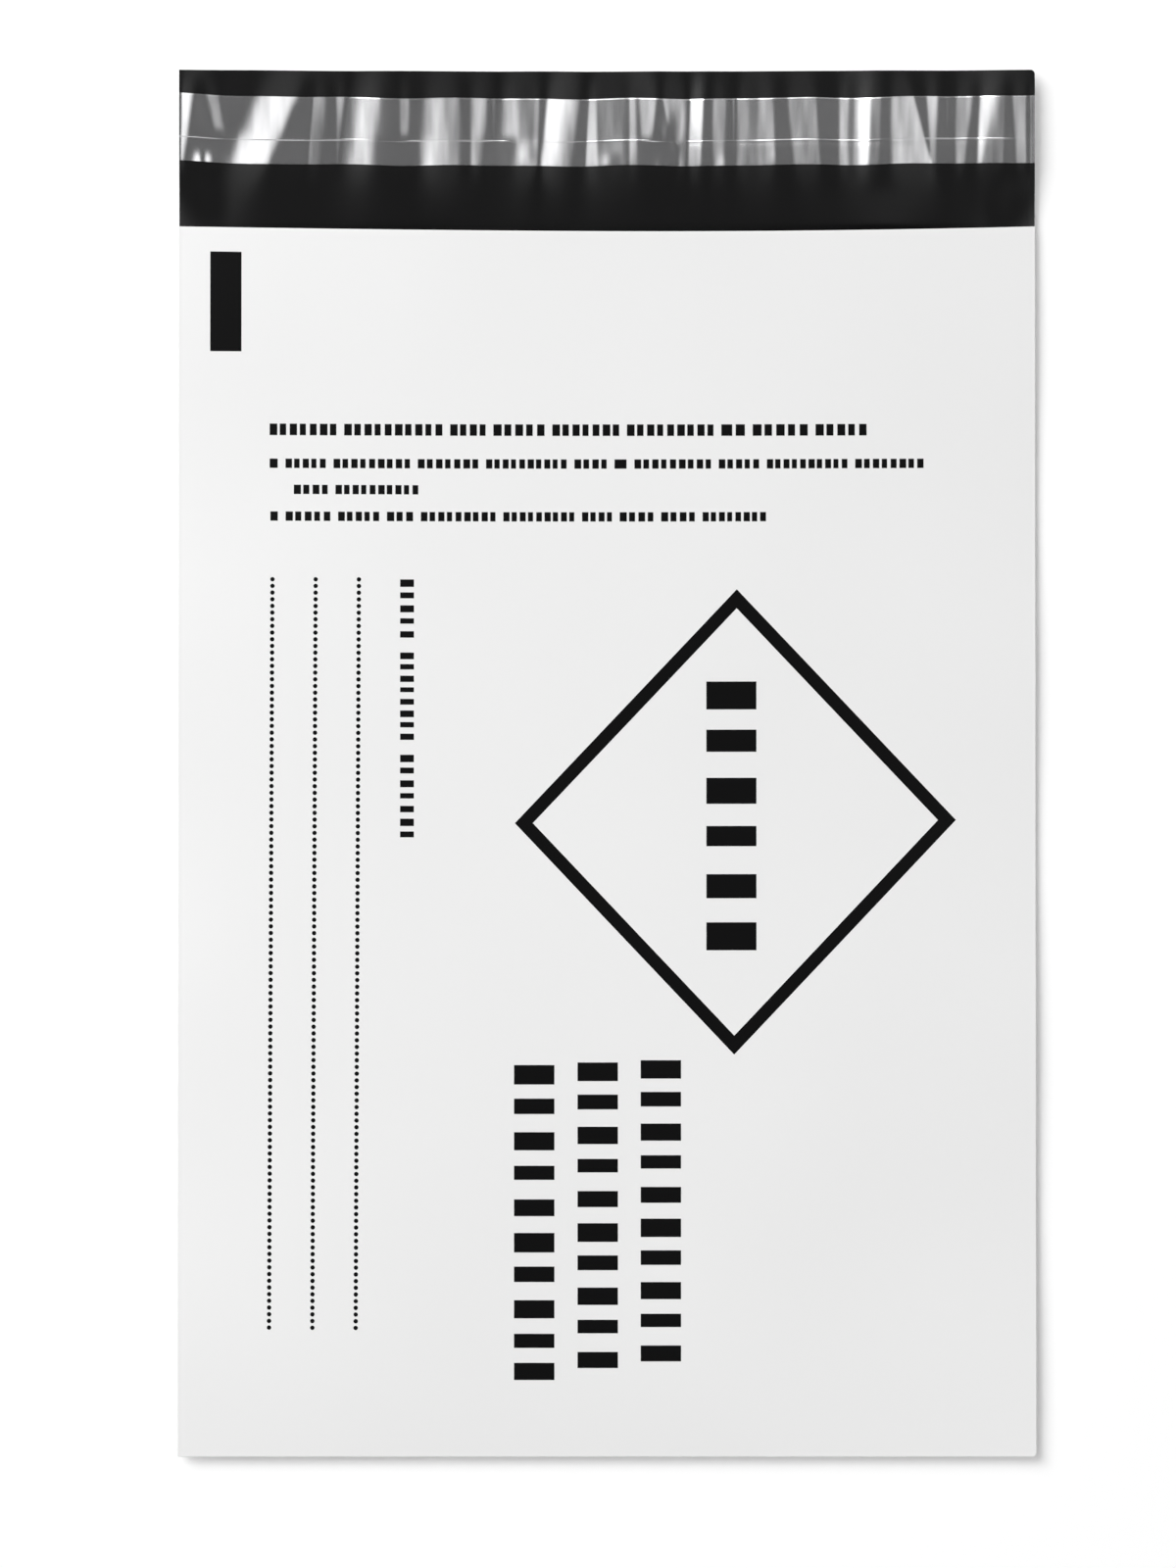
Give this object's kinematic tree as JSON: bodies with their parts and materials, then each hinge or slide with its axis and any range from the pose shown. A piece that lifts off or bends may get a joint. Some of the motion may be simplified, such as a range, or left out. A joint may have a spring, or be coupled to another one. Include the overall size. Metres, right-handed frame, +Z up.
{
  "type": "specimen transport bag",
  "caption": "Flat film mailing bag, white outside and black inside, with welded sides, an open mouth, and a lip that carries an adhesive band under a peel-off liner.",
  "frame": {"origin": "on the surface that the bag lies on, below the middle of its width and length", "axes": "+X across the bag to the right as the print side is seen, +Y from the bottom fold to the lip, +Z up out of the front panel"},
  "size_m": [0.23, 0.372, 0.0073],
  "materials": {
    "white_film": "satin white face of a two-colour polyethylene film",
    "black_film": "soft-sheen black inner face of the same film, seen on the lip and in the mouth",
    "ink": "flat black print on the white face",
    "adhesive": "clear amber hot-melt band, hidden under the liner",
    "release_liner": "thin glossy liner film with a silver-grey sheen"
  },
  "bodies": {
    "root": {"pouch": "white_film", "adhesive_strip": "adhesive", "release_liner": "release_liner"}
  },
  "joints": []
}
